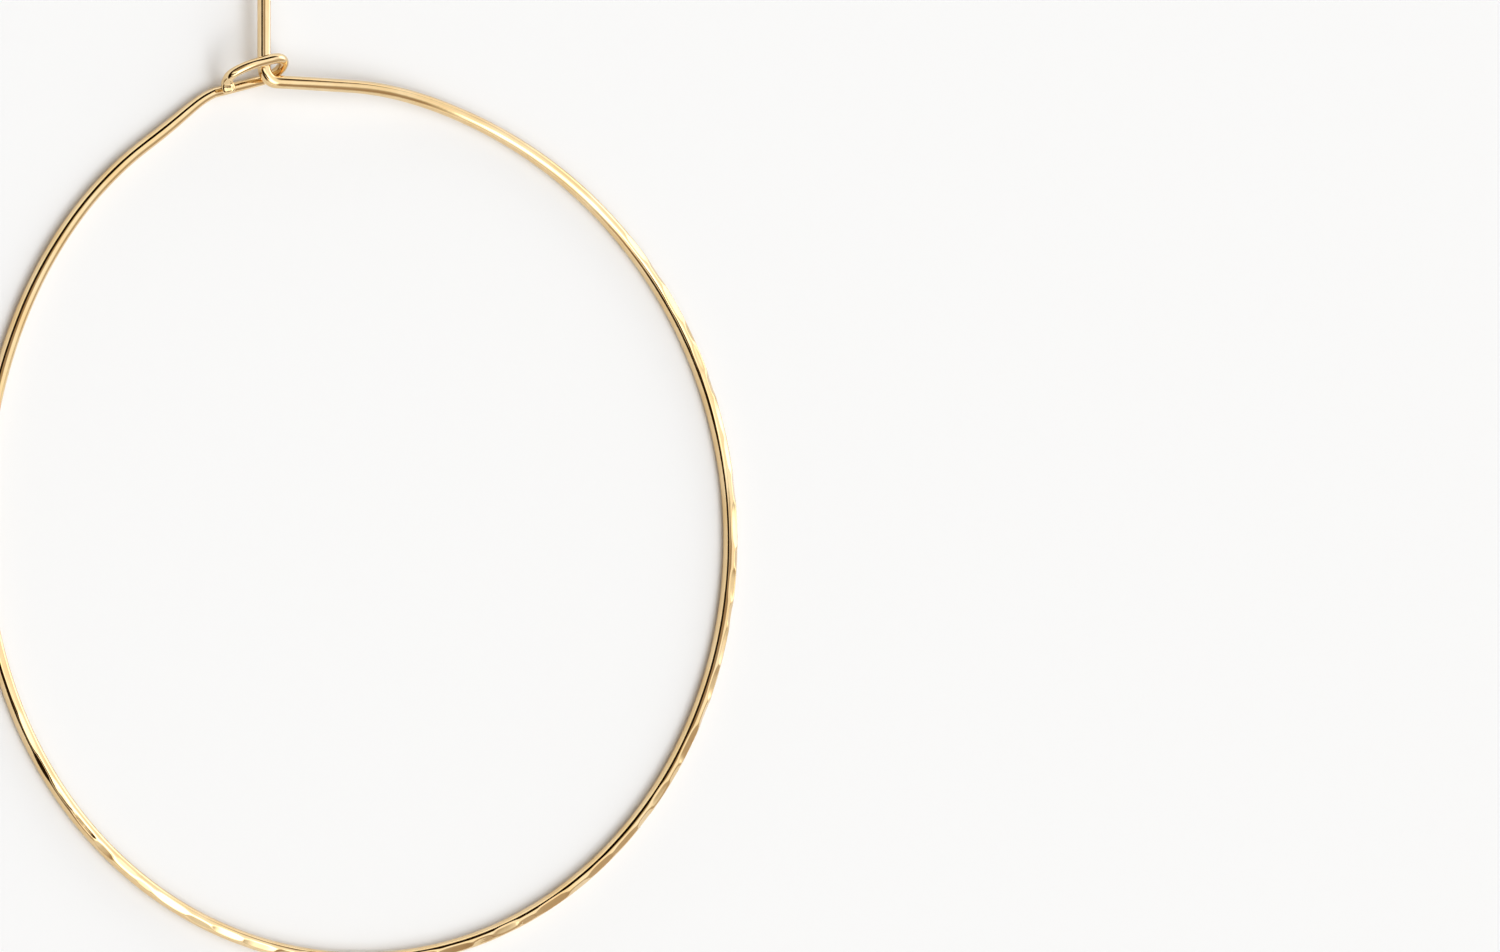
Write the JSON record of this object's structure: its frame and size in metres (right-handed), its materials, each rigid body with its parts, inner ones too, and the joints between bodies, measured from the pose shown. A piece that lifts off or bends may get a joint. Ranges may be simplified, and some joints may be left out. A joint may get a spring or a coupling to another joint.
{
  "type": "hoop earring",
  "caption": "Large thin hoop earring of hammered gold-tone wire, closed by a bent latch that stands up through an eye at its top.",
  "frame": {"origin": "centre of the outline as the earring lies on its back, on the surface that it lies on", "axes": "+Z out of the hoop's plane, from its back to its front; +Y from the middle of the hoop towards the latch; +X across the hoop"},
  "size_m": [0.0516, 0.057, 0.0025],
  "materials": {
    "polished_gold": "polished, with hammered flats"
  },
  "bodies": {
    "root": {"hoop_wire": "polished_gold"}
  },
  "joints": []
}
